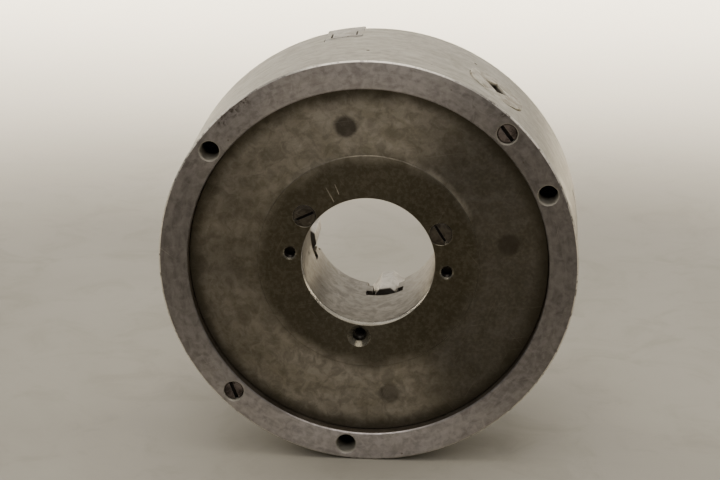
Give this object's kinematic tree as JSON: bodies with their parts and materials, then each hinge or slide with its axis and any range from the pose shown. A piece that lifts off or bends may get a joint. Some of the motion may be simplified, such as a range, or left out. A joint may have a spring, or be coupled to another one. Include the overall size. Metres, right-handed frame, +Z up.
{
  "type": "four-jaw scroll chuck",
  "caption": "Self-centring scroll chuck for a lathe: round steel body with register recess, sunk rear cover, through bore, two key-driven pinions and radial stepped jaws.",
  "frame": {"origin": "centre of the rear mounting face, on the spindle axis", "axes": "+Y along the spindle axis from the rear mounting face towards the jaws, +Z up and +X to the right as seen from the rear"},
  "size_m": [0.25, 0.142, 0.25],
  "materials": {
    "body_steel": "old ground steel, dulled and scuffed, with oil stains",
    "cover_steel": "dark oil-stained steel, blotched",
    "gear_steel": "oiled machined steel",
    "pinion_steel": "ground steel, worn at the key socket",
    "jaw_steel": "hardened and ground steel, lightly stained",
    "screw_steel": "dark steel with worn slot edges",
    "cap_screw_steel": "black oxide"
  },
  "bodies": {
    "chuck_body": {"body": "body_steel", "rear_cover": "cover_steel", "cover_screw_1": "screw_steel", "cover_screw_2": "screw_steel", "pinion_screw_1": "screw_steel", "pinion_screw_2": "screw_steel"},
    "scroll": {"scroll_plate": "gear_steel"},
    "pinion_a": {"pinion_1": "pinion_steel"},
    "pinion_b": {"pinion_2": "pinion_steel"},
    "jaw_1": {"base_jaw_1": "jaw_steel", "top_jaw_1": "jaw_steel", "jaw_screw_1_inner": "cap_screw_steel", "jaw_screw_1_outer": "cap_screw_steel"},
    "jaw_2": {"base_jaw_2": "jaw_steel", "top_jaw_2": "jaw_steel", "jaw_screw_2_inner": "cap_screw_steel", "jaw_screw_2_outer": "cap_screw_steel"},
    "jaw_3": {"base_jaw_3": "jaw_steel", "top_jaw_3": "jaw_steel", "jaw_screw_3_inner": "cap_screw_steel", "jaw_screw_3_outer": "cap_screw_steel"},
    "jaw_4": {"base_jaw_4": "jaw_steel", "top_jaw_4": "jaw_steel", "jaw_screw_4_inner": "cap_screw_steel", "jaw_screw_4_outer": "cap_screw_steel"}
  },
  "joints": [
    {"name": "scroll_spin", "type": "hinge", "parent": "chuck_body", "child": "scroll", "pos_m": [0, 0.05, 0], "axis": [0, 1, 0], "range_deg": [-1080, 720]},
    {"name": "pinion_1_spin", "type": "hinge", "parent": "chuck_body", "child": "pinion_a", "pos_m": [0.06528, 0.0365, 0.08854], "axis": [0.5934, 0, 0.8049], "range_deg": [-5045, 7565]},
    {"name": "pinion_2_spin", "type": "hinge", "parent": "chuck_body", "child": "pinion_b", "pos_m": [-0.06528, 0.0365, -0.08854], "axis": [-0.5934, 0, -0.8049], "range_deg": [-5045, 7565]},
    {"name": "jaw_1_slide", "type": "slide", "parent": "chuck_body", "child": "jaw_1", "axis": [0.9877, 0, 0.1564], "range_m": [-0.0301, 0.0201]},
    {"name": "jaw_2_slide", "type": "slide", "parent": "chuck_body", "child": "jaw_2", "axis": [-0.1564, 0, 0.9877], "range_m": [-0.0301, 0.0201]},
    {"name": "jaw_3_slide", "type": "slide", "parent": "chuck_body", "child": "jaw_3", "axis": [-0.9877, 0, -0.1564], "range_m": [-0.0301, 0.0201]},
    {"name": "jaw_4_slide", "type": "slide", "parent": "chuck_body", "child": "jaw_4", "axis": [0.1564, 0, -0.9877], "range_m": [-0.0301, 0.0201]}
  ],
  "couplings": [
    {"joint": "pinion_1_spin", "follows": "scroll_spin", "ratio": -7},
    {"joint": "pinion_2_spin", "follows": "scroll_spin", "ratio": -7},
    {"joint": "jaw_1_slide", "follows": "scroll_spin", "m_per_rad": 0.0015915},
    {"joint": "jaw_2_slide", "follows": "scroll_spin", "m_per_rad": 0.0015915},
    {"joint": "jaw_3_slide", "follows": "scroll_spin", "m_per_rad": 0.0015915},
    {"joint": "jaw_4_slide", "follows": "scroll_spin", "m_per_rad": 0.0015915}
  ]
}
